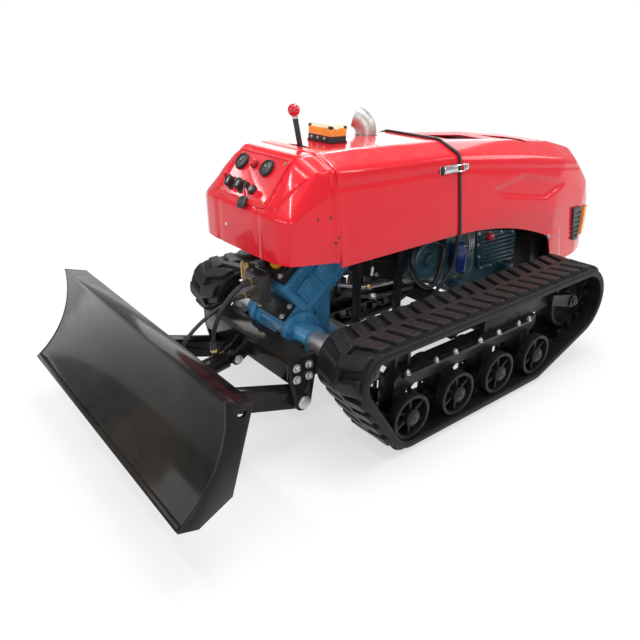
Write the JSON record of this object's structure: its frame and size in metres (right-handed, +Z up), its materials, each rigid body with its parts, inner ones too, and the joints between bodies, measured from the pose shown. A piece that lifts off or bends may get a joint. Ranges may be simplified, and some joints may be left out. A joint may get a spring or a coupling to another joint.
{
  "type": "compact crawler dozer",
  "caption": "Compact crawler dozer with rubber tracks, a panelled bonnet over the engine bay and a hydraulically lifted push blade in front.",
  "frame": {"origin": "ground point under the middle of the overall box, with the blade carried as in the picture", "axes": "+Z up, -Y towards the blade, +X to the machine's left when it drives blade first"},
  "size_m": [1.154, 2.3988, 1.076],
  "materials": {
    "red_paint": "glossy red paint",
    "blue_paint": "blue enamel",
    "black_paint": "glossy black paint",
    "frame_black": "satin black paint",
    "rubber": "matte black rubber",
    "wheel_black": "painted casting",
    "engine_teal": "painted casting",
    "filter_blue": "blue paint",
    "steel": "bare steel",
    "hard_chrome": "hard chrome",
    "dark_metal": "dark grey paint",
    "gold_zinc": "yellow zinc plate",
    "yellow_plastic": "moulded plastic",
    "black_plastic": "moulded plastic",
    "amber_plastic": "tinted plastic"
  },
  "bodies": {
    "chassis": {"frame_rails": "frame_black", "front_beam": "black_paint", "pivot_plates": "black_paint", "pivot_pins": "steel", "gearbox": "blue_paint", "gearbox_covers": "blue_paint", "axle_housings": "blue_paint", "final_shafts": "wheel_black", "sprockets": "wheel_black", "track_left": "rubber", "track_right": "rubber", "track_frame_left": "frame_black", "track_frame_right": "frame_black", "road_wheels_left": "wheel_black", "road_wheels_right": "wheel_black", "idlers": "wheel_black", "tensioners": "frame_black", "engine_block": "engine_teal", "engine_cover": "engine_teal", "oil_filter": "filter_blue", "belt_guard": "engine_teal", "radiator": "frame_black", "hydraulic_tank": "frame_black", "filler_cap": "yellow_plastic", "control_valve": "dark_metal", "linkage_rods": "gold_zinc", "pto_cover": "frame_black", "front_cowl": "red_paint", "control_panel": "red_paint", "panel_switches": "black_plastic", "middle_bonnet": "red_paint", "gear_lever": "black_plastic", "warning_lamp": "amber_plastic", "exhaust_pipe": "steel", "bonnet_seal": "rubber", "latches": "steel", "bonnet_posts": "frame_black", "bonnet_hinge": "dark_metal", "hose_base": "rubber", "hose_rod": "rubber"},
    "blade": {"moldboard": "black_paint", "cutting_edge": "black_paint", "blade_ends": "black_paint", "blade_back": "black_paint", "push_arms": "black_paint"},
    "cylinder_barrel": {"lift_barrel": "black_paint"},
    "cylinder_rod": {"lift_rod": "hard_chrome"},
    "engine_bonnet": {"rear_bonnet": "red_paint", "rear_lamps": "amber_plastic", "side_vents": "black_plastic"}
  },
  "joints": [
    {"name": "blade_lift", "type": "hinge", "parent": "chassis", "child": "blade", "pos_m": [0, -0.585, 0.168], "axis": [-1, 0, 0], "range_deg": [-23, 12]},
    {"name": "cylinder_swing", "type": "hinge", "parent": "chassis", "child": "cylinder_barrel", "pos_m": [0, -0.683, 0.258], "axis": [-1, 0, 0], "range_deg": [-29, 15.5], "deforming": ["hose_base", "hose_rod"]},
    {"name": "cylinder_stroke", "type": "slide", "parent": "cylinder_barrel", "child": "cylinder_rod", "axis": [0, -0.9879, -0.155], "range_m": [-0.025, 0.047]},
    {"name": "bonnet_open", "type": "hinge", "parent": "chassis", "child": "engine_bonnet", "pos_m": [0, 1.12, 0.305], "axis": [-1, 0, 0], "range_deg": [0, 55]}
  ],
  "couplings": [
    {"joint": "cylinder_swing", "follows": "blade_lift", "ratio": 1.215},
    {"joint": "cylinder_stroke", "follows": "blade_lift", "m_per_rad": -0.11}
  ]
}
